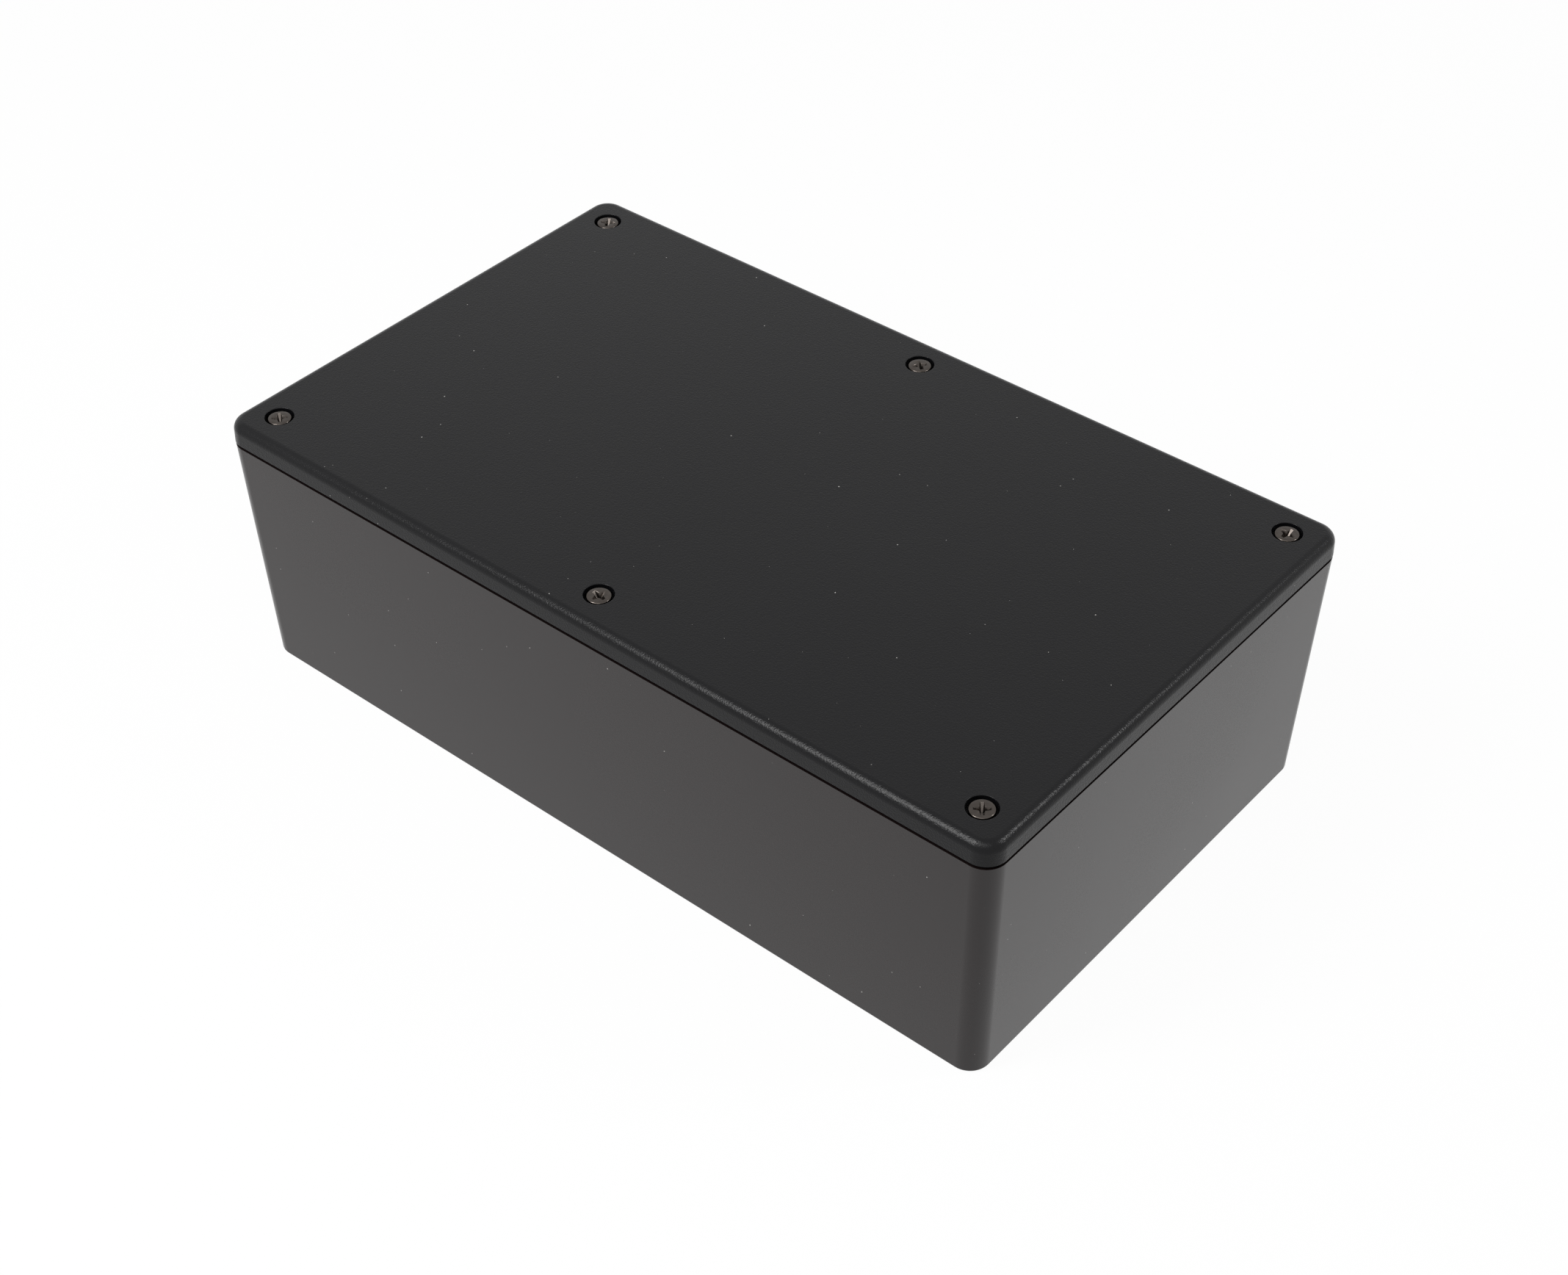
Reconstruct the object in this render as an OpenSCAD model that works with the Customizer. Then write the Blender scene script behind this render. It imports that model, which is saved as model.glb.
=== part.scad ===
// Project box: a drafted base, a lapped lid and six screws that hold the lid down.
// Millimetres, +Z up. The origin is the middle of the underside, and -Y is the front.

/* [Box] */
// Outside length of the lid, along X
box_l = 190; // [140:1:260]
// Outside width of the lid, along Y
box_w = 111.8; // [80:0.1:160]
// Radius of the upright outside corners
corner_r = 4.4; // [3.2:0.1:6]
// Height of the base, from its underside to the shoulder below the seam
base_h = 54.1; // [40:0.1:90]
// Thickness of the base's walls
wall_t = 2.8; // [2.6:0.1:3.2]
// Thickness of the base's floor
floor_t = 2.6; // [2:0.1:4]
// Draft of the base's walls, in degrees
wall_draft = 1.8; // [0.5:0.1:2.5]
// Rounding of the base's lower outside edge
foot_r = 0.6; // [0.3:0.1:1.2]
// Rounding inside, where the walls meet the floor
cavity_r = 1; // [0.5:0.1:2]

/* [Lid] */
// Thickness of the lid's plate
lid_t = 3; // [2.6:0.1:4]
// Rounding of the lid's upper edge
lid_edge_r = 2; // [0.8:0.1:2.4]
// Draft of the lid's sides, in degrees
lid_draft = 1.5; // [0:0.1:3]
// Depth of the skirt below the plate
skirt_h = 1.7; // [1.2:0.1:3]
// Thickness of the skirt
skirt_t = 1.4; // [1.2:0.05:1.5]
// Height of the shadow gap between the skirt and the base's shoulder
seam_gap = 0.7; // [0.3:0.1:1]
// How far the skirt stands out beyond the base's wall
lid_overhang = 0.05; // [0:0.05:0.3]
// Side clearance between the skirt and the base's lip
lap_clear = 0.15; // [0.1:0.05:0.25]
// Clearance between the top of the base's lip and the lid's plate
lip_clear = 0.2; // [0.1:0.05:0.5]

/* [Screws] */
// Distance from each screw to the nearest outside edges of the lid
screw_inset = 7.9; // [7.4:0.1:10]
// Diameter of the screw head
head_d = 4.8; // [4.4:0.1:5.2]
// Height of the screw head
head_h = 1.6; // [1.4:0.05:1.8]
// Rounding of the head's upper edge
head_edge_r = 0.3; // [0.1:0.05:0.4]
// Depth of the head's top below the lid's face
head_sink = 0.25; // [0.1:0.05:0.6]
// Length of the screw below its head
screw_len = 12; // [9:0.5:14]
// Core diameter of the thread
shank_d = 2.1; // [1.8:0.05:2.2]
// Width across the cross recess
cross_w = 3; // [2.6:0.1:3.2]
// Thickness of each blade of the cross recess
cross_t = 0.7; // [0.5:0.05:0.9]
// Depth of the cross recess
cross_depth = 1.3; // [1:0.05:1.35]

/* [Screw holes] */
// Diameter of the counterbore in the lid
counterbore_d = 5.9; // [5.5:0.1:7]
// Diameter of the clearance hole through the lid
lid_hole_d = 3.3; // [3.1:0.1:3.8]
// Diameter of the pilot hole in each post
pilot_d = 2.3; // [2.3:0.05:2.6]
// Depth of the pilot hole
pilot_depth = 14; // [14:0.5:25]

/* [Screw posts] */
// Diameter of each screw post at its top
post_d = 8; // [7:0.1:9]
// Draft of the posts, in degrees
post_draft = 0.5; // [0:0.1:1]

/* [Card guides] */
// Width of the slot between a pair of guide ribs
guide_slot = 1.8; // [1.2:0.1:2.4]
// Thickness of a guide rib
guide_t = 1; // [0.8:0.1:1.4]
// How far a guide rib stands out from its wall
guide_reach = 1.5; // [1:0.1:2]
// Spacing of the slots
guide_pitch = 12; // [9:0.5:20]
// Free wall between a screw post and the nearest slot's middle
guide_margin = 5; // [3.5:0.5:10]
// Distance from the base's shoulder down to the top of the ribs
guide_drop = 4; // [2:0.5:10]

/* [Board bosses] */
// Spacing of the board bosses along X
boss_spacing_x = 130; // [90:1:150]
// Spacing of the board bosses along Y
boss_spacing_y = 66; // [40:1:70]
// Diameter of a board boss
boss_d = 6; // [5:0.1:8]
// Height of a board boss above the floor
boss_h = 5; // [3:0.5:10]
// Diameter of the pilot hole in a board boss
boss_hole_d = 2.4; // [2:0.1:2.8]
// Thickness of floor left under that hole
boss_hole_floor = 1.6; // [1:0.1:1.9]

/* [Hidden] */
$fn = 48;

// Straight steps in a quarter turn of a lofted corner, and in a rounded edge
corner_steps = 12;
edge_steps = 6;
// How far ribs and posts are rooted in the wall that carries them
root = 0.6;
// Overshoot of cutting solids
cut = 1;
// How much narrower the cross recess is at its bottom than at its mouth
cross_taper = 0.8;
// Length of the screw's pointed tip, and how far its shank is rooted in the head
tip_l = 2;
shank_root = 0.2;

lid_low = base_h + seam_gap;
plate_z = lid_low + skirt_h;
top_z = plate_z + lid_t;
lip_top = plate_z - lip_clear;
seat_z = top_z - head_sink - head_h;
post_r = post_d / 2;
// Distances from the lid's outline in to the wall's outer face, the lip and the cavity
wall_in = lid_overhang;
lip_in = skirt_t + lap_clear;
cavity_in = wall_in + wall_t;
cavity_corner_r = corner_r - wall_t;
screw_x = box_l / 2 - screw_inset;
screw_y = box_w / 2 - screw_inset;

// ---- Lofted rounded rectangles

// How far the base's walls have come in at height z because of their draft
function draft_in(z) = (base_h - z) * tan(wall_draft);

// The outline of a rounded rectangle at height z, set in from the lid's outline
function ring(inset, r, z) = [
    for (quarter = [0:3], step = [0:corner_steps])
        let (angle = 90 * (quarter + step / corner_steps),
             side_x = quarter == 0 || quarter == 3 ? 1 : -1,
             side_y = quarter < 2 ? 1 : -1)
        [side_x * (box_l / 2 - inset - r) + r * cos(angle),
         side_y * (box_w / 2 - inset - r) + r * sin(angle),
         z]
];

// A solid through a stack of levels, each an inset, a corner radius and a height
module loft(levels) {
    n = 4 * (corner_steps + 1);
    last = (len(levels) - 1) * n;
    points = [for (level = levels) each ring(level[0], level[1], level[2])];
    sides = [
        for (k = [0:len(levels) - 2], i = [0:n - 1])
            let (a = k * n + i, b = k * n + (i + 1) % n)
            each [[a, a + n, b + n], [a, b + n, b]]
    ];
    bottom = [for (i = [0:n - 1]) i];
    top = [for (i = [n - 1:-1:0]) last + i];
    polyhedron(points, concat([bottom], sides, [top]));
}

// The inside of the base, made larger or smaller by growing its walls outwards by grow
module base_inside(grow, from_z, to_z) {
    loft([
        [cavity_in - grow + draft_in(from_z), cavity_corner_r, from_z],
        [cavity_in - grow + draft_in(to_z), cavity_corner_r, to_z]
    ]);
}

// ---- Base

// The outside of the base: a rounded foot, drafted walls, the shoulder and the lip
module base_outside() {
    foot = [
        for (i = [0:edge_steps])
            let (angle = 90 * i / edge_steps, z = foot_r * (1 - cos(angle)))
            [wall_in + draft_in(z) + foot_r * (1 - sin(angle)), corner_r - foot_r * (1 - sin(angle)), z]
    ];
    loft(concat(foot, [
        [wall_in, corner_r, base_h],
        [lip_in, corner_r - lip_in, base_h],
        [lip_in, corner_r - lip_in, lip_top]
    ]));
}

// The room inside the base, with its lower edge rounded
module base_cavity() {
    edge = [
        for (i = [0:edge_steps])
            let (angle = 90 * i / edge_steps, z = floor_t + cavity_r * (1 - cos(angle)))
            [cavity_in + draft_in(z) + cavity_r * (1 - sin(angle)), cavity_corner_r, z]
    ];
    loft(concat(edge, [[cavity_in + draft_in(lip_top + cut), cavity_corner_r, lip_top + cut]]));
}

// Places its children at each of the six screws
module at_screws() {
    for (x = [-screw_x, 0, screw_x], y = [-screw_y, screw_y])
        translate([x, y, 0]) children();
}

// A drafted post, filled out to the wall on the -Y side and at a corner to the one on the -X side too
module screw_post(corner) {
    foot_z = floor_t - root;
    post_h = plate_z - foot_z;
    wall_x = corner ? screw_inset : post_r;
    translate([0, 0, foot_z]) {
        cylinder(r1 = post_r + post_h * tan(post_draft), r2 = post_r, h = post_h);
        translate([-wall_x, -screw_inset, 0]) cube([wall_x + post_r, screw_inset, post_h]);
        if (corner)
            translate([-screw_inset, -screw_inset, 0]) cube([screw_inset, screw_inset + post_r, post_h]);
    }
}

module screw_posts() {
    for (side = [0, 1])
        mirror([0, side, 0]) {
            for (end = [0, 1])
                mirror([end, 0, 0]) translate([-screw_x, -screw_y, 0]) screw_post(corner = true);
            translate([0, -screw_y, 0]) screw_post(corner = false);
        }
}

// A pair of ribs across the box, whose gap is a slot for the edge of a card
module guide_pair() {
    for (side = [-1, 1])
        translate([side * (guide_slot + guide_t) / 2 - guide_t / 2, -box_l / 2, floor_t - root])
            cube([guide_t, box_l, base_h - guide_drop - floor_t + root]);
}

// Guide ribs on all four walls, clear of the posts
module card_guides() {
    long_first = post_r + guide_margin;
    long_count = floor((screw_x - post_r - guide_margin - long_first) / guide_pitch);
    short_count = floor(2 * (screw_y - post_r - guide_margin) / guide_pitch);
    difference() {
        union() {
            for (end = [-1, 1], k = [0:long_count])
                translate([end * (long_first + k * guide_pitch), 0, 0]) guide_pair();
            for (k = [0:short_count])
                translate([0, (k - short_count / 2) * guide_pitch, 0]) rotate(90) guide_pair();
        }
        base_inside(-guide_reach, floor_t - cut, base_h);
    }
}

module at_board_bosses() {
    for (x = [-1, 1], y = [-1, 1])
        translate([x * boss_spacing_x / 2, y * boss_spacing_y / 2, 0]) children();
}

module board_bosses() {
    at_board_bosses()
        translate([0, 0, floor_t - root]) cylinder(d = boss_d, h = boss_h + root);
}

module base() {
    color("#2b2b2c")
    difference() {
        union() {
            difference() {
                base_outside();
                base_cavity();
            }
            intersection() {
                base_inside(root, floor_t - root, plate_z);
                union() {
                    screw_posts();
                    card_guides();
                }
            }
            board_bosses();
        }
        at_screws() translate([0, 0, plate_z - pilot_depth]) cylinder(d = pilot_d, h = pilot_depth + cut);
        at_board_bosses() translate([0, 0, boss_hole_floor]) cylinder(d = boss_hole_d, h = floor_t + boss_h);
    }
}

// ---- Lid

// The outside of the lid: drafted sides and a rounded upper edge
module lid_outside() {
    side_h = top_z - lid_edge_r - lid_low;
    side_in = side_h * tan(lid_draft);
    edge = [
        for (i = [0:edge_steps])
            let (angle = 90 * i / edge_steps, inset = side_in + lid_edge_r * (1 - cos(angle)))
            [inset, corner_r - inset, top_z - lid_edge_r * (1 - sin(angle))]
    ];
    loft(concat([[0, corner_r, lid_low]], edge));
}

module lid() {
    color("#303032")
    difference() {
        lid_outside();
        loft([
            [skirt_t, corner_r - skirt_t, lid_low - cut],
            [skirt_t, corner_r - skirt_t, plate_z]
        ]);
        at_screws() {
            translate([0, 0, seat_z]) cylinder(d = counterbore_d, h = head_h + head_sink + cut);
            translate([0, 0, plate_z - cut]) cylinder(d = lid_hole_d, h = lid_t + cut);
        }
    }
}

// ---- Screws

// The cross recess: two crossed blades inside a cone
module cross_recess() {
    bottom_w = cross_w - 2 * cross_taper;
    intersection() {
        translate([0, 0, -cross_depth])
            cylinder(d1 = bottom_w, d2 = cross_w + 2 * cross_taper * cut / cross_depth, h = cross_depth + cut);
        for (turn = [0, 90])
            rotate(turn) translate([-cross_w, -cross_t / 2, -cross_depth])
                cube([2 * cross_w, cross_t, cross_depth + cut]);
    }
}

// A screw's head: a low cylinder with a rounded upper edge, its bearing face at z = 0
module screw_head() {
    rotate_extrude() {
        square([head_d / 2 - head_edge_r, head_h]);
        square([head_d / 2, head_h - head_edge_r]);
        translate([head_d / 2 - head_edge_r, head_h - head_edge_r])
            intersection() {
                circle(r = head_edge_r);
                square(head_edge_r);
            }
    }
}

// A screw's shank, rooted in the head, with its point at z = -screw_len
module screw_shank() {
    translate([0, 0, tip_l - screw_len]) cylinder(d = shank_d, h = screw_len - tip_l + shank_root);
    translate([0, 0, -screw_len]) cylinder(d1 = 0, d2 = shank_d, h = tip_l);
}

// A screw whose cross recess is turned by turn
module screw(turn) {
    color("#4a4646")
    rotate(turn)
    difference() {
        union() {
            screw_head();
            screw_shank();
        }
        translate([0, 0, head_h]) cross_recess();
    }
}

module place_screw(column, row, turn) {
    translate([column * screw_x, row * screw_y, seat_z]) screw(turn);
}

base();
lid();
place_screw(-1, -1, turn = 52);  // screw_front_left
place_screw(0, -1, turn = 82);  // screw_front_middle
place_screw(1, -1, turn = 37);  // screw_front_right
place_screw(-1, 1, turn = 30);  // screw_rear_left
place_screw(0, 1, turn = 55);  // screw_rear_middle
place_screw(1, 1, turn = 85);  // screw_rear_right
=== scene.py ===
"""Dresses the plastic project box: its drafted base, its textured lid and its six small screws."""
import math

import bmesh
import bpy
from mathutils import Matrix, Vector


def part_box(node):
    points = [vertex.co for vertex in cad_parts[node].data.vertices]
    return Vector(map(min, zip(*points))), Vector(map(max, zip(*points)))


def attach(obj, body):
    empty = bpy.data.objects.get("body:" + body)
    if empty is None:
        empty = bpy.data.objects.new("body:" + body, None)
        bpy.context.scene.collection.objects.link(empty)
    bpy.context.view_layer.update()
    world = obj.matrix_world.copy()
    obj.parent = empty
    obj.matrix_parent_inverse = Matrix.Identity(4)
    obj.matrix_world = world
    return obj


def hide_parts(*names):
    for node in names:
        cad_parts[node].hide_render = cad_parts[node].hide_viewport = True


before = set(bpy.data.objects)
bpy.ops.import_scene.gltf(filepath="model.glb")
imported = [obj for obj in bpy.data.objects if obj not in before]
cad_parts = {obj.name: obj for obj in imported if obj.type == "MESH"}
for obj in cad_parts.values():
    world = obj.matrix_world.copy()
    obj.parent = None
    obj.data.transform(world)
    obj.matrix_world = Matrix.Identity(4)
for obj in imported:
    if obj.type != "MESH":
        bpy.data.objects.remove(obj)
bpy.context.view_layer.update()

MM = 0.001

# ---- Sizes, in metres

LID_LOW, LID_HIGH = (Vector(corner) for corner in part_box("lid"))
BOX_L = LID_HIGH.x - LID_LOW.x
BOX_W = LID_HIGH.y - LID_LOW.y
SEAM_TOP = LID_LOW.z
LID_TOP = LID_HIGH.z
PLATE_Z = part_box("base")[1][2]

CORNER_R = 4.4 * MM
BASE_H = 54.1 * MM
WALL_T = 2.8 * MM
FLOOR_T = 2.6 * MM
WALL_SLOPE = math.tan(math.radians(1.8))
FOOT_R = 0.6 * MM
CAVITY_R = 1.0 * MM

LID_EDGE_R = 2.0 * MM
LID_SLOPE = math.tan(math.radians(1.5))
SKIRT_T = 1.4 * MM
OVERHANG = 0.05 * MM
LAP_CLEAR = 0.15 * MM
LIP_CLEAR = 0.2 * MM
LIP_IN = SKIRT_T + LAP_CLEAR
LIP_TOP = PLATE_Z - LIP_CLEAR
CAVITY_IN = OVERHANG + WALL_T

SCREWS = ["screw_front_left", "screw_front_middle", "screw_front_right",
          "screw_rear_left", "screw_rear_middle", "screw_rear_right"]
# How far each screw's cross is turned, in degrees
CROSS_TURN = dict(zip(SCREWS, [52, 82, 37, 30, 55, 85]))
SCREW_INSET = 7.9 * MM
SCREW_LOW, SCREW_HIGH = (Vector(corner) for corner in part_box("screw_front_left"))
SCREW_TOP = SCREW_HIGH.z
SCREW_LEN = 12.0 * MM
HEAD_R = (SCREW_HIGH.x - SCREW_LOW.x) / 2
HEAD_H = SCREW_TOP - SCREW_LOW.z - SCREW_LEN
SEAT_Z = SCREW_TOP - HEAD_H
COUNTERBORE_R = 2.95 * MM
LID_HOLE_R = 1.65 * MM
PILOT_R = 1.15 * MM
PILOT_DEPTH = 14.0 * MM

POST_R = 4.0 * MM
POST_SLOPE = math.tan(math.radians(0.5))
GUIDE_SLOT = 1.8 * MM
GUIDE_T = 1.0 * MM
GUIDE_REACH = 1.5 * MM
GUIDE_PITCH = 12.0 * MM
GUIDE_MARGIN = 5.0 * MM
GUIDE_TOP = BASE_H - 4.0 * MM
BOSS_X = 65.0 * MM
BOSS_Y = 33.0 * MM
BOSS_R = 3.0 * MM
BOSS_H = 5.0 * MM
BOSS_HOLE_R = 1.2 * MM
BOSS_HOLE_FLOOR = 1.6 * MM

# How far ribs, posts and bosses are rooted in what carries them, and how far cutters overshoot
ROOT = 0.6 * MM
CUT = 1.0 * MM


def draft_in(height):
    """How far the base's walls have come in at a height, because of their draft."""
    return (BASE_H - height) * WALL_SLOPE


# ---- Modelling helpers

def only(piece):
    """Leaves edit mode and makes a piece the one selected object."""
    if bpy.context.object and bpy.context.object.mode != "OBJECT":
        bpy.ops.object.mode_set(mode="OBJECT")
    bpy.ops.object.select_all(action="DESELECT")
    piece.select_set(True)
    bpy.context.view_layer.objects.active = piece


def edit(piece):
    """Opens a piece in edit mode."""
    only(piece)
    bpy.ops.object.mode_set(mode="EDIT")


def done(piece):
    """Closes a piece's edit mode and returns it."""
    bpy.ops.object.mode_set(mode="OBJECT")
    return piece


def named(name):
    """Names the primitive that was just added, and puts its place into its mesh."""
    piece = bpy.context.object
    piece.name = name
    piece.data.name = name
    bpy.ops.object.transform_apply(location=True, rotation=True, scale=True)
    return piece


def clear_selection():
    """Deselects everything, so that an operator acts only on what is added next."""
    if bpy.context.object and bpy.context.object.mode != "OBJECT":
        bpy.ops.object.mode_set(mode="OBJECT")
    bpy.ops.object.select_all(action="DESELECT")


def block(name, low, high):
    """A cuboid between two corners."""
    clear_selection()
    low, high = Vector(low), Vector(high)
    bpy.ops.mesh.primitive_cube_add(size=1, location=(low + high) / 2, scale=high - low)
    return named(name)


def pick(piece, kind, test):
    """Selects the faces or edges of a piece in edit mode that pass a test."""
    bpy.ops.mesh.select_mode(type=kind)
    bpy.ops.mesh.select_all(action="DESELECT")
    mesh = bmesh.from_edit_mesh(piece.data)
    parts = mesh.faces if kind == "FACE" else mesh.edges
    for part in parts:
        if test(part):
            part.select_set(True)
    mesh.select_flush_mode()
    bmesh.update_edit_mesh(piece.data)


def near(value, target):
    """Whether two lengths agree to a hundredth of a millimetre."""
    return abs(value - target) < 0.01 * MM


def level(height):
    """A test for edges and faces that lie flat at a height."""
    return lambda part: all(near(corner.co.z, height) for corner in part.verts)


def rim(height):
    """A test for edges at a height where a flat face meets a steep one."""
    flat = level(height)
    return lambda edge: flat(edge) and len({abs(face.normal.z) > 0.9 for face in edge.link_faces}) == 2


def upright(edge):
    """Whether an edge runs from the bottom to the top of a block."""
    rise = edge.verts[1].co - edge.verts[0].co
    return abs(rise.z) > 0.9 * rise.length


def round_edges(radius, segments):
    """Rounds the picked edges."""
    bpy.ops.mesh.bevel(offset=radius, segments=segments, affect="EDGES", clamp_overlap=False)


def scale_flat(factor_x, factor_y, centre):
    """Scales what is picked along X and Y about a centre."""
    bpy.ops.transform.resize(value=(factor_x, factor_y, 1), center_override=centre)


def pull(x=0.0, y=0.0, z=0.0):
    """Extrudes the picked faces and moves them."""
    bpy.ops.mesh.extrude_region_move(TRANSFORM_OT_translate={"value": (x, y, z)})


def move(x=0.0, y=0.0, z=0.0):
    """Moves what is picked."""
    bpy.ops.transform.translate(value=(x, y, z))


def turned(name, profile, sides=48, centre=(0.0, 0.0)):
    """A solid of revolution: a disc pulled up through a list of radii and heights."""
    clear_selection()
    (radius, height), *rest = profile
    bpy.ops.mesh.primitive_circle_add(vertices=sides, radius=radius, fill_type="NGON",
                                      location=(*centre, height))
    piece = named(name)
    edit(piece)
    bpy.ops.mesh.select_all(action="SELECT")
    for next_radius, next_height in rest:
        pull(z=next_height - height)
        scale_flat(next_radius / radius, next_radius / radius, (*centre, next_height))
        radius, height = next_radius, next_height
    bpy.ops.mesh.select_all(action="SELECT")
    bpy.ops.mesh.remove_doubles(threshold=0.0005 * MM)
    bpy.ops.mesh.normals_make_consistent(inside=False)
    return done(piece)


def rounded_corner(radius, height, turn_from, turn_to, corner_r, steps=4):
    """Points of a turned profile that go round a corner of it, centred at a radius and a height."""
    turns = [math.radians(turn_from + (turn_to - turn_from) * i / steps) for i in range(steps + 1)]
    return [(radius + corner_r * math.cos(turn), height + corner_r * math.sin(turn)) for turn in turns]


def copies(piece, places):
    """Copies of a piece, each with its own mesh moved by a matrix, in place of the piece itself."""
    made = []
    for place in places:
        copy = piece.copy()
        copy.data = piece.data.copy()
        copy.data.transform(place)
        bpy.context.scene.collection.objects.link(copy)
        made.append(copy)
    bpy.data.objects.remove(piece)
    return made


def joined(pieces):
    """Joins pieces into one object."""
    only(pieces[0])
    for piece in pieces:
        piece.select_set(True)
    bpy.ops.object.join()
    return bpy.context.object


def combine(piece, tool, operation):
    """Adds a tool to a piece or cuts it away, and uses the tool up."""
    only(piece)
    modifier = piece.modifiers.new("combine", "BOOLEAN")
    modifier.operation = operation
    modifier.solver = "MANIFOLD"
    modifier.object = tool
    bpy.ops.object.modifier_apply(modifier=modifier.name)
    bpy.data.objects.remove(tool)


def smooth(piece, angle=32):
    """Shades a piece smooth across its rounded edges, with its large faces kept flat."""
    only(piece)
    bpy.ops.object.shade_smooth_by_angle(angle=math.radians(angle))
    modifier = piece.modifiers.new("flat faces", "WEIGHTED_NORMAL")
    modifier.keep_sharp = True
    bpy.ops.object.modifier_apply(modifier=modifier.name)


def turn(degrees):
    """A turn about the upright axis."""
    return Matrix.Rotation(math.radians(degrees), 4, "Z")


def at_screws():
    """The place of each screw's axis, by the screw's name."""
    spots = {}
    for name in SCREWS:
        low, high = (Vector(corner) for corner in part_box(name))
        spots[name] = Matrix.Translation(((low.x + high.x) / 2, (low.y + high.y) / 2, 0))
    return spots


# ---- Base

def base_shell():
    """The base's outside and inside: foot, drafted walls, shoulder, lip and cavity."""
    half_l, half_w = BOX_L / 2 - OVERHANG, BOX_W / 2 - OVERHANG
    shell = block("base_moulding", (-half_l, -half_w, 0), (half_l, half_w, BASE_H))
    edit(shell)
    pick(shell, "FACE", level(0))
    scale_flat(1 - draft_in(0) / half_l, 1 - draft_in(0) / half_w, (0, 0, 0))
    pick(shell, "EDGE", upright)
    round_edges(CORNER_R, 20)
    pick(shell, "EDGE", rim(0))
    round_edges(FOOT_R, 5)
    pick(shell, "FACE", level(BASE_H))
    bpy.ops.mesh.inset(thickness=LIP_IN - OVERHANG)
    pull(z=LIP_TOP - BASE_H)
    cavity_in = CAVITY_IN + draft_in(LIP_TOP)
    bpy.ops.mesh.inset(thickness=cavity_in - LIP_IN)
    pull(z=FLOOR_T - LIP_TOP)
    narrowing = draft_in(FLOOR_T) - draft_in(LIP_TOP)
    half_l, half_w = BOX_L / 2 - cavity_in, BOX_W / 2 - cavity_in
    scale_flat(1 - narrowing / half_l, 1 - narrowing / half_w, (0, 0, FLOOR_T))
    pick(shell, "EDGE", rim(FLOOR_T))
    round_edges(CAVITY_R, 5)
    pick(shell, "EDGE", rim(LIP_TOP))
    round_edges(0.15 * MM, 2)
    return done(shell)


def screw_post(at_corner):
    """A post that is rooted in the wall at -Y, and for a corner in the one at -X too."""
    low_z, wall_in = FLOOR_T - ROOT, CAVITY_IN - ROOT
    spread = (PLATE_Z - low_z) * POST_SLOPE
    axis_y = SCREW_INSET - BOX_W / 2
    axis_x = SCREW_INSET - BOX_L / 2 if at_corner else 0.0
    low_x = wall_in - BOX_L / 2 if at_corner else -POST_R
    post = block("post", (low_x, wall_in - BOX_W / 2, low_z), (axis_x + POST_R, axis_y + POST_R, PLATE_Z))
    edit(post)
    mesh = bmesh.from_edit_mesh(post.data)
    for corner in mesh.verts:
        if near(corner.co.z, low_z):
            corner.co.y += spread if corner.co.y > axis_y else draft_in(low_z)
            outwards = 1 if corner.co.x > axis_x else -1
            corner.co.x += draft_in(low_z) if at_corner and outwards < 0 else outwards * spread
        elif corner.co.y < axis_y:
            corner.co.y += draft_in(PLATE_Z)
    bmesh.update_edit_mesh(post.data)
    free = lambda edge: all(end.co.y > axis_y and (end.co.x > axis_x or not at_corner) for end in edge.verts)
    pick(post, "EDGE", lambda edge: upright(edge) and free(edge))
    round_edges(POST_R, 12)
    if at_corner:
        inner = lambda edge: all(end.co.y < axis_y and end.co.x < axis_x for end in edge.verts)
        pick(post, "EDGE", lambda edge: upright(edge) and inner(edge))
        round_edges(CORNER_R - OVERHANG - WALL_T + ROOT, 6)
    return done(post)


def screw_posts():
    """All six posts: a corner one and a middle one, turned and shifted into their places."""
    flip = Matrix.Diagonal((-1, 1, 1, 1))
    corner = copies(screw_post(at_corner=True), [Matrix(), turn(180), flip, turn(180) @ flip])
    middle = copies(screw_post(at_corner=False), [Matrix(), turn(180)])
    posts = joined(corner + middle)
    edit(posts)
    bpy.ops.mesh.select_all(action="SELECT")
    bpy.ops.mesh.normals_make_consistent(inside=False)
    return done(posts)


def guide_rib(half):
    """A rib on a wall at -Y whose outer outline lies half away from the middle of the box."""
    low_z = FLOOR_T - ROOT
    wall_y = CAVITY_IN + draft_in(GUIDE_TOP) - half
    rib = block("rib", (-GUIDE_T / 2, wall_y - ROOT, low_z), (GUIDE_T / 2, wall_y + GUIDE_REACH, GUIDE_TOP))
    edit(rib)
    pick(rib, "FACE", level(low_z))
    move(y=draft_in(low_z) - draft_in(GUIDE_TOP))
    pick(rib, "EDGE", lambda edge: all(end.co.y > wall_y and end.co.z > low_z for end in edge.verts)
         or (upright(edge) and min(end.co.y for end in edge.verts) > wall_y))
    round_edges(0.25 * MM, 2)
    return done(rib)


def guide_places(half_run, first, turns):
    """Where the ribs of each slot stand along a wall, for the walls at the given turns."""
    count = math.floor((half_run - first) / GUIDE_PITCH + 1e-6)
    return [turn(angle) @ Matrix.Translation((slot + side * (GUIDE_SLOT + GUIDE_T) / 2, 0, 0))
            for angle in turns for slot in slot_places(count, first) for side in (-1, 1)]


def slot_places(count, first):
    """Places of the slots on both sides of the middle of a wall, which is itself one if first is 0."""
    right = [first + i * GUIDE_PITCH for i in range(count + 1)]
    return sorted(set(right + [-place for place in right]))


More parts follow.
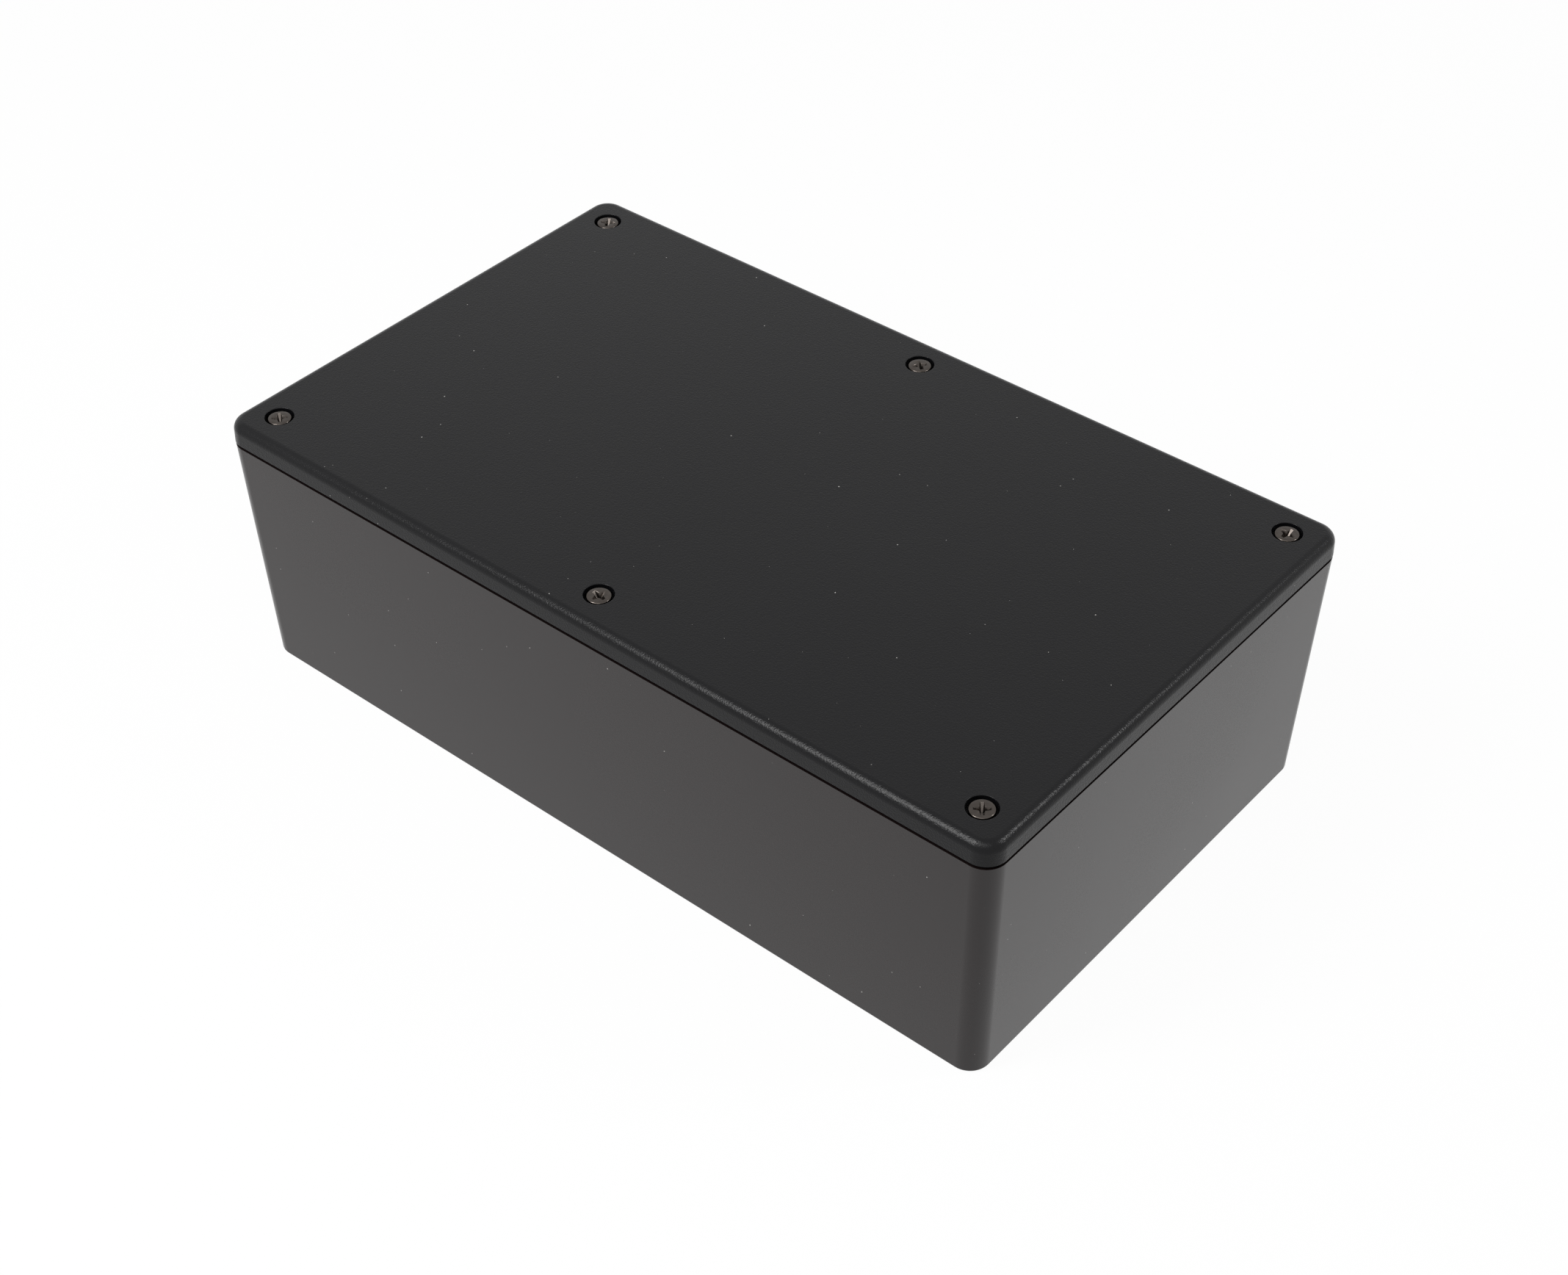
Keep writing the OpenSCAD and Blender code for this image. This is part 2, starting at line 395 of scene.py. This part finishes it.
def card_guides():
    """The pairs of ribs on all four walls."""
    free_l = BOX_L / 2 - SCREW_INSET - POST_R - GUIDE_MARGIN
    free_w = BOX_W / 2 - SCREW_INSET - POST_R - GUIDE_MARGIN
    along = guide_places(free_l, POST_R + GUIDE_MARGIN, (0, 180))
    across = guide_places(free_w, 0.0, (90, 270))
    return joined(copies(guide_rib(BOX_W / 2), along) + copies(guide_rib(BOX_L / 2), across))


def board_bosses():
    """The four bosses that carry a board."""
    top = FLOOR_T + BOSS_H
    edge_r = 0.25 * MM
    profile = [(BOSS_R, FLOOR_T - ROOT)] + rounded_corner(BOSS_R - edge_r, top - edge_r, 0, 90, edge_r)
    return joined(copies(turned("boss", profile), boss_places()))


def boss_places():
    """Where the four bosses stand."""
    return [Matrix.Translation((x, y, 0)) for x in (-BOSS_X, BOSS_X) for y in (-BOSS_Y, BOSS_Y)]


def hole_cutter(name, radius, low, high):
    """A cutter for a blind hole with a small chamfer at its mouth."""
    chamfer = 0.2 * MM
    mouth_r = radius + chamfer
    profile = [(radius, low), (radius, high - chamfer), (mouth_r, high), (mouth_r, high + CUT)]
    return turned(name, profile, sides=40)


def make_base():
    """The base with its posts, card guides, bosses and pilot holes."""
    base = base_shell()
    for part in (screw_posts(), card_guides(), board_bosses()):
        combine(base, part, "UNION")
    pilots = copies(hole_cutter("pilot", PILOT_R, PLATE_Z - PILOT_DEPTH, PLATE_Z), at_screws().values())
    boss_hole = hole_cutter("boss_hole", BOSS_HOLE_R, BOSS_HOLE_FLOOR, FLOOR_T + BOSS_H)
    boss_holes = copies(boss_hole, boss_places())
    combine(base, joined(pilots + boss_holes), "DIFFERENCE")
    smooth(base)
    return base


# ---- Lid

def lid_plate():
    """The lid's plate and skirt: drafted sides, rounded upper edge and hollow underside."""
    half_l, half_w = BOX_L / 2, BOX_W / 2
    plate = block("lid_moulding", (-half_l, -half_w, SEAM_TOP), (half_l, half_w, LID_TOP))
    edit(plate)
    pick(plate, "FACE", level(LID_TOP))
    side_in = (LID_TOP - SEAM_TOP) * LID_SLOPE
    scale_flat(1 - side_in / half_l, 1 - side_in / half_w, (0, 0, LID_TOP))
    pick(plate, "EDGE", upright)
    round_edges(CORNER_R, 20)
    pick(plate, "FACE", level(SEAM_TOP))
    bpy.ops.mesh.inset(thickness=SKIRT_T)
    pull(z=PLATE_Z - SEAM_TOP)
    pick(plate, "EDGE", rim(LID_TOP))
    round_edges(LID_EDGE_R, 10)
    pick(plate, "EDGE", rim(SEAM_TOP))
    round_edges(0.03 * MM, 1)
    return done(plate)


def counterbore_cutter():
    """A cutter for one screw hole: clearance hole, counterbore and its softened mouth."""
    mouth_r = 0.15 * MM
    mouth = rounded_corner(COUNTERBORE_R + mouth_r, LID_TOP - mouth_r, 180, 90, mouth_r)
    profile = [(LID_HOLE_R, PLATE_Z - CUT), (LID_HOLE_R, SEAT_Z), (COUNTERBORE_R, SEAT_Z)]
    return turned("counterbore", profile + mouth + [(mouth[-1][0], LID_TOP + CUT)], sides=64)


def make_lid():
    """The lid with its six screw holes."""
    lid = lid_plate()
    combine(lid, joined(copies(counterbore_cutter(), at_screws().values())), "DIFFERENCE")
    smooth(lid)
    return lid


# ---- Screws

CROSS_W = 3.0 * MM
CROSS_TIP_T = 0.60 * MM
CROSS_ROOT_T = 1.15 * MM
CROSS_DEPTH = 1.3 * MM
CROSS_FLARE = 0.08 * MM
HEAD_EDGE_R = 0.3 * MM
HEAD_CROWN_IN = 0.85 * MM
THREAD_R = 1.5 * MM
CORE_R = 1.05 * MM
PITCH = 1.1 * MM
TIP_L = 2.6 * MM


def cross_wing():
    """One blade of the tool that forms the cross recess: thinner and shallower towards its tips."""
    half_w, half_t = CROSS_W / 2, CROSS_ROOT_T / 2
    wing = block("wing", (-half_w, -half_t, -CROSS_DEPTH), (half_w, half_t, -CROSS_FLARE))
    edit(wing)
    bpy.ops.mesh.select_all(action="SELECT")
    bpy.ops.mesh.bisect(plane_co=(0, 0, 0), plane_no=(1, 0, 0))
    pick(wing, "EDGE", lambda edge: all(near(abs(end.co.x), half_w) for end in edge.verts))
    scale_flat(1, CROSS_TIP_T / CROSS_ROOT_T, (0, 0, 0))
    pick(wing, "FACE", level(-CROSS_DEPTH))
    scale_flat(0.24, 0.42, (0, 0, -CROSS_DEPTH))
    pick(wing, "FACE", level(-CROSS_FLARE))
    pull(z=CROSS_FLARE)
    scale_flat(1 + CROSS_FLARE / half_w, 1 + CROSS_FLARE / half_t, (0, 0, 0))
    pull(z=CUT)
    return done(wing)


def cross_punch():
    """The tool that forms the cross recess: two blades and the cone between them."""
    punch = copies(cross_wing(), [Matrix(), turn(90)])
    mouth_r = 0.72 * MM
    profile = [(0.26 * MM, -1.05 * CROSS_DEPTH), (mouth_r, -CROSS_FLARE), (mouth_r + CROSS_FLARE, 0.0),
               (mouth_r + CROSS_FLARE, CUT)]
    core = turned("core", profile, sides=24)
    combine(punch[0], punch[1], "UNION")
    combine(punch[0], core, "UNION")
    return punch[0]


def screw_head():
    """The head, flat on top with a rounded edge, and with the cross recess in it."""
    under_r = 0.1 * MM
    profile = ([(HEAD_R - under_r, 0.0), (HEAD_R, under_r)]
               + rounded_corner(HEAD_R - HEAD_EDGE_R, HEAD_H - HEAD_EDGE_R, 0, 72, HEAD_EDGE_R, steps=6)
               + [(HEAD_R - HEAD_CROWN_IN, HEAD_H)])
    head = turned("head", profile, sides=72)
    punch = cross_punch()
    punch.data.transform(Matrix.Translation((0, 0, HEAD_H)))
    combine(head, punch, "DIFFERENCE")
    return head


def thread_radius(radius, height):
    """Runs the thread out under the head and tapers it to the point."""
    run_out = CORE_R + max(0.0, -0.5 * MM - height) * 0.6
    taper = min(1.0, max(0.0, (height + SCREW_LEN) / TIP_L)) ** 0.7
    return min(radius, run_out) * taper


def screw_thread():
    """The shank: one turn of the thread's outline swept down the whole shank, then shaped to a point."""
    clear_selection()
    flank, crest = 0.3 * PITCH, 0.05 * PITCH
    outline = [(CORE_R, 0.0), (CORE_R, PITCH / 2 - flank), (THREAD_R, PITCH / 2 - crest),
               (THREAD_R, PITCH / 2 + crest), (CORE_R, PITCH / 2 + flank), (CORE_R, PITCH)]
    mesh = bpy.data.meshes.new("shank")
    mesh.from_pydata([(radius, 0, height - SCREW_LEN - PITCH) for radius, height in outline],
                     [(i, i + 1) for i in range(len(outline) - 1)], [])
    shank = bpy.data.objects.new("shank", mesh)
    bpy.context.scene.collection.objects.link(shank)
    only(shank)
    sweep = shank.modifiers.new("sweep", "SCREW")
    sweep.screw_offset = PITCH
    sweep.iterations = math.ceil(SCREW_LEN / PITCH) + 2
    sweep.steps = sweep.render_steps = 32
    sweep.use_merge_vertices = True
    sweep.merge_threshold = 0.001 * MM
    bpy.ops.object.modifier_apply(modifier=sweep.name)
    root_z = 0.3 * MM
    for corner in mesh.vertices:
        radius = math.hypot(corner.co.x, corner.co.y)
        shaped = thread_radius(radius, corner.co.z) / radius
        height = min(max(corner.co.z, -SCREW_LEN), root_z)
        corner.co = (corner.co.x * shaped, corner.co.y * shaped, height)
    edit(shank)
    bpy.ops.mesh.select_all(action="SELECT")
    bpy.ops.mesh.remove_doubles(threshold=0.002 * MM)
    bpy.ops.mesh.fill_holes(sides=0)
    bpy.ops.mesh.select_all(action="SELECT")
    bpy.ops.mesh.normals_make_consistent(inside=False)
    return done(shank)


def make_screws():
    """Six screws, each a copy of one whose bearing face is at the origin."""
    master = screw_head()
    combine(master, screw_thread(), "UNION")
    spots = at_screws()
    lift = Matrix.Translation((0, 0, SEAT_Z))
    made = copies(master, [spots[name] @ lift @ turn(CROSS_TURN[name]) for name in SCREWS])
    for name, screw in zip(SCREWS, made):
        screw.name = name + "_steel"
        smooth(screw, angle=38)
    return dict(zip(SCREWS, made))


# ---- Materials

DUST_CELL = 1 / 150
DUST_SIZE = 0.021
DUST_COLOUR = (0.5, 0.49, 0.47, 1.0)


class Nodes:
    """A short way to write a material's node tree."""

    def __init__(self, name):
        self.material = bpy.data.materials.new(name)
        self.material.use_nodes = True
        self.tree = self.material.node_tree
        self.shader = self.tree.nodes["Principled BSDF"]
        self.place = self.tree.nodes.new("ShaderNodeTexCoord").outputs["Object"]

    def add(self, kind, settings=None, **inputs):
        """Adds a node, with its own settings, and sets or links its inputs by name."""
        node = self.tree.nodes.new(kind)
        for key, value in (settings or {}).items():
            setattr(node, key, value)
        for key, value in inputs.items():
            self.feed(node.inputs[int(key[1:]) if key[0] == "_" else key.replace("_", " ")], value)
        return node

    def feed(self, socket, value):
        """Links a socket to an output, or sets its value."""
        if isinstance(value, bpy.types.NodeSocket):
            self.tree.links.new(value, socket)
        else:
            socket.default_value = value

    def noise(self, scale, detail=2.0, roughness=0.5):
        """Noise with a grain of one part in scale of a metre."""
        node = self.add("ShaderNodeTexNoise", Vector=self.place, Scale=scale, Detail=detail,
                        Roughness=roughness)
        return node.outputs["Fac"]

    def spread(self, value, low, high, to_low, to_high):
        """Stretches part of a value's range over another range."""
        node = self.add("ShaderNodeMapRange", Value=value, From_Min=low, From_Max=high,
                        To_Min=to_low, To_Max=to_high)
        return node.outputs["Result"]

    def maths(self, first, second, operation="ADD"):
        """Joins two numbers by an arithmetic operation."""
        return self.add("ShaderNodeMath", {"operation": operation}, _0=first, _1=second).outputs[0]

    def blend(self, factor, first, second):
        """A colour between two colours."""
        node = self.add("ShaderNodeMix", {"data_type": "RGBA"})
        for index, value in ((0, factor), (6, first), (7, second)):
            self.feed(node.inputs[index], value)
        return node.outputs[2]

    def bump(self, height, distance, below=None):
        """Relief from a height, on top of another relief."""
        node = self.add("ShaderNodeBump", Height=height, Distance=distance, Strength=1.0)
        if below is not None:
            self.feed(node.inputs["Normal"], below)
        return node.outputs["Normal"]


def dust(nodes):
    """Sparse pale specks of dust: 1 on a speck and 0 beside it, on the top as on the sides."""
    axes = nodes.add("ShaderNodeSeparateXYZ", Vector=nodes.place).outputs
    normal = nodes.add("ShaderNodeNewGeometry").outputs["Normal"]
    facing = nodes.add("ShaderNodeSeparateXYZ", Vector=normal).outputs
    along = nodes.maths(axes["X"], axes["Y"])
    side = nodes.add("ShaderNodeCombineXYZ", X=along, Y=axes["Z"]).outputs[0]
    top = nodes.add("ShaderNodeCombineXYZ", X=axes["X"], Y=axes["Y"]).outputs[0]
    choose = nodes.add("ShaderNodeMix", {"data_type": "VECTOR"})
    nodes.feed(choose.inputs[0], nodes.maths(facing["Z"], 0.5, "GREATER_THAN"))
    nodes.feed(choose.inputs[4], side)
    nodes.feed(choose.inputs[5], top)
    cells = nodes.add("ShaderNodeTexVoronoi", {"voronoi_dimensions": "2D"},
                      Vector=choose.outputs[1], Scale=1 / DUST_CELL)
    chance = nodes.add("ShaderNodeSeparateColor", Color=cells.outputs["Color"]).outputs
    size = nodes.spread(chance["Red"], 0.75, 1.0, 0.0, DUST_SIZE)
    return nodes.maths(nodes.maths(cells.outputs["Distance"], size, "LESS_THAN"), chance["Green"], "MULTIPLY")


def plastic(name, dark, light, roughness, grain_size, grain_depth, gloss):
    """Black moulded plastic with a fine sparked grain, faint cloudiness and a little dust."""
    nodes = Nodes(name)
    shader = nodes.shader
    cloud = nodes.noise(22.0, detail=3.0)
    grain = nodes.noise(1 / grain_size, detail=1.0)
    colour = nodes.blend(cloud, dark, light)
    nodes.feed(shader.inputs["Base Color"], nodes.blend(dust(nodes), colour, DUST_COLOUR))
    rough = nodes.maths(nodes.spread(cloud, 0.3, 0.7, roughness - 0.02, roughness + 0.02),
                      nodes.spread(grain, 0.3, 0.7, -0.03, 0.03))
    nodes.feed(shader.inputs["Roughness"], rough)
    wave = nodes.bump(nodes.noise(14.0, detail=1.0), 0.02 * MM)
    nodes.feed(shader.inputs["Normal"], nodes.bump(grain, grain_depth, below=wave))
    shader.inputs["Specular IOR Level"].default_value = gloss
    return nodes.material


def dark_steel():
    """Dark nickel plating on a screw: fine scratches and slightly uneven gloss."""
    nodes = Nodes("dark nickel plated steel")
    shader = nodes.shader
    patches = nodes.noise(900.0, detail=4.0, roughness=0.6)
    scratches = nodes.noise(9000.0, detail=2.0)
    colour = nodes.blend(patches, (0.045, 0.038, 0.034, 1), (0.090, 0.080, 0.072, 1))
    nodes.feed(shader.inputs["Base Color"], colour)
    nodes.feed(shader.inputs["Roughness"], nodes.spread(patches, 0.3, 0.7, 0.16, 0.27))
    nodes.feed(shader.inputs["Normal"], nodes.bump(scratches, 0.003 * MM))
    shader.inputs["Metallic"].default_value = 1.0
    return nodes.material


def dress(piece, material, body, node):
    """Gives a piece its material, hangs it on the body it rides on and hides the solid it stands in for."""
    piece.data.materials.clear()
    piece.data.materials.append(material)
    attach(piece, body)
    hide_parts(node)


# ---- Studio

FLOOR_R = 6.0
FLOOR_GAP = 0.2 * MM
WHITE_SHARE = 0.96
AMBIENT = 0.30


def make_floor():
    """A pale floor that shows white, with the box's soft shadow on it."""
    clear_selection()
    bpy.ops.mesh.primitive_circle_add(vertices=96, radius=FLOOR_R, fill_type="NGON",
                                      location=(0, 0, -FLOOR_GAP))
    floor = bpy.context.object
    floor.name = "studio_floor"
    nodes = Nodes("white studio floor")
    nodes.tree.nodes.remove(nodes.shader)
    rays = nodes.add("ShaderNodeLightPath").outputs
    seen = nodes.maths(nodes.maths(rays["Is Camera Ray"], rays["Is Glossy Ray"], "MAXIMUM"),
                     rays["Is Transmission Ray"], "MAXIMUM")
    share = nodes.maths(seen, WHITE_SHARE, "MULTIPLY")
    matt = nodes.add("ShaderNodeBsdfDiffuse", Color=(0.9, 0.9, 0.9, 1.0)).outputs[0]
    white = nodes.add("ShaderNodeEmission", Color=(1.0, 1.0, 1.0, 1.0), Strength=1.0).outputs[0]
    mixed = nodes.add("ShaderNodeMixShader", _0=share, _1=matt, _2=white).outputs[0]
    nodes.feed(nodes.tree.nodes["Material Output"].inputs["Surface"], mixed)
    floor.data.materials.append(nodes.material)


def make_world():
    """Even light from all round, and white wherever the studio itself is seen or mirrored."""
    world = bpy.data.worlds.new("studio")
    bpy.context.scene.world = world
    world.use_nodes = True
    tree = world.node_tree
    background = tree.nodes["Background"]
    background.inputs["Color"].default_value = (1.0, 1.0, 1.0, 1.0)
    rays = tree.nodes.new("ShaderNodeLightPath").outputs
    brightness = rays["Is Camera Ray"]
    for ray in (rays["Is Glossy Ray"], rays["Is Transmission Ray"]):
        either = tree.nodes.new("ShaderNodeMath")
        either.operation = "MAXIMUM"
        tree.links.new(brightness, either.inputs[0])
        tree.links.new(ray, either.inputs[1])
        brightness = either.outputs[0]
    ambient = tree.nodes.new("ShaderNodeMath")
    ambient.operation = "MAXIMUM"
    tree.links.new(brightness, ambient.inputs[0])
    ambient.inputs[1].default_value = AMBIENT
    tree.links.new(ambient.outputs[0], background.inputs["Strength"])


def softbox(name, place, aim, width, height, power):
    """A soft rectangular light that faces a point."""
    light = bpy.data.lights.new(name, "AREA")
    light.shape = "RECTANGLE"
    light.size, light.size_y = width, height
    light.energy = power
    lamp = bpy.data.objects.new(name, light)
    bpy.context.scene.collection.objects.link(lamp)
    place, aim = Vector(place), Vector(aim)
    lamp.location = place
    lamp.rotation_euler = (aim - place).to_track_quat("-Z", "Y").to_euler()


def make_lights():
    """A broad softbox at the front left, a small one at the rear right and a fill above the camera."""
    softbox("front_left", (-0.22, -0.54, 0.66), (0, -0.03, 0.06), 0.26, 0.50, 5.2)
    softbox("rear_right", (0.50, 0.34, 0.52), (0.09, 0, 0.06), 0.12, 0.16, 1.2)
    softbox("front_fill", (0.34, -0.75, 1.20), (0, 0, 0.03), 0.8, 0.6, 3.5)


def make_camera():
    """The camera: from the front right, well above the lid."""
    place = Vector((258.3, -302.1, 357.1)) * MM
    aim = Vector((4.1, -0.4, 20.0)) * MM
    roll = math.radians(-0.27)
    data = bpy.data.cameras.new("camera")
    data.sensor_width = 36.0
    data.lens = 58.75
    data.clip_start = 0.01
    camera = bpy.data.objects.new("camera", data)
    bpy.context.scene.collection.objects.link(camera)
    facing = (aim - place).to_track_quat("-Z", "Y").to_matrix().to_4x4()
    camera.matrix_world = Matrix.Translation(place) @ facing @ Matrix.Rotation(roll, 4, "Z")
    bpy.context.scene.camera = camera


make_camera()
make_floor()
make_world()
make_lights()

base_plastic = plastic("satin moulded black plastic",
                       dark=(0.0075, 0.0045, 0.0045, 1), light=(0.0090, 0.0056, 0.0056, 1),
                       roughness=0.24, grain_size=0.35 * MM, grain_depth=0.006 * MM, gloss=0.36)
lid_plastic = plastic("textured black plastic",
                      dark=(0.0036, 0.0036, 0.0043, 1), light=(0.0044, 0.0044, 0.0051, 1),
                      roughness=0.27, grain_size=0.30 * MM, grain_depth=0.05 * MM, gloss=0.18)
steel = dark_steel()
dress(make_base(), base_plastic, "base", "base")
dress(make_lid(), lid_plastic, "lid", "lid")
for screw_name, screw_piece in make_screws().items():
    dress(screw_piece, steel, screw_name, screw_name)

bpy.context.scene.view_settings.view_transform = "Standard"
